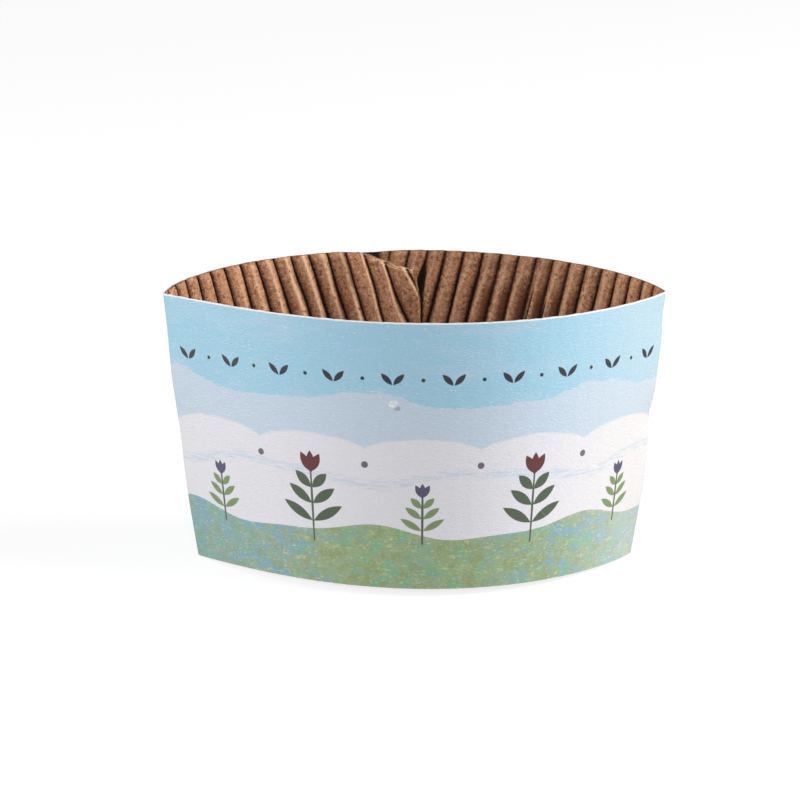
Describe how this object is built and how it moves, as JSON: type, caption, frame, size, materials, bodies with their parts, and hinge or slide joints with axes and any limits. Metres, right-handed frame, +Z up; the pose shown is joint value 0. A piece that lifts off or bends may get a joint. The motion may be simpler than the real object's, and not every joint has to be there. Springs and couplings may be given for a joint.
{
  "type": "corrugated paper cup sleeve",
  "caption": "Tapered paper sleeve with a fluted inner ply, folded at two creases and lapped at the back, that slides over a hot-drink cup.",
  "frame": {"origin": "under the middle of the outer box, at the level of the lower tips of the two creases, on which the sleeve stands", "axes": "+Z up, out of the wide mouth; +X along the line from the left crease to the right crease; +Y from the front panel to the lapped back panel"},
  "size_m": [0.1094, 0.0614, 0.0619],
  "materials": {
    "printed_paper": "satin printed white-faced paper",
    "kraft_paper": "matte brown kraft, fluted"
  },
  "bodies": {
    "root": {"printed_liner": "printed_paper", "fluted_medium": "kraft_paper"}
  },
  "joints": []
}
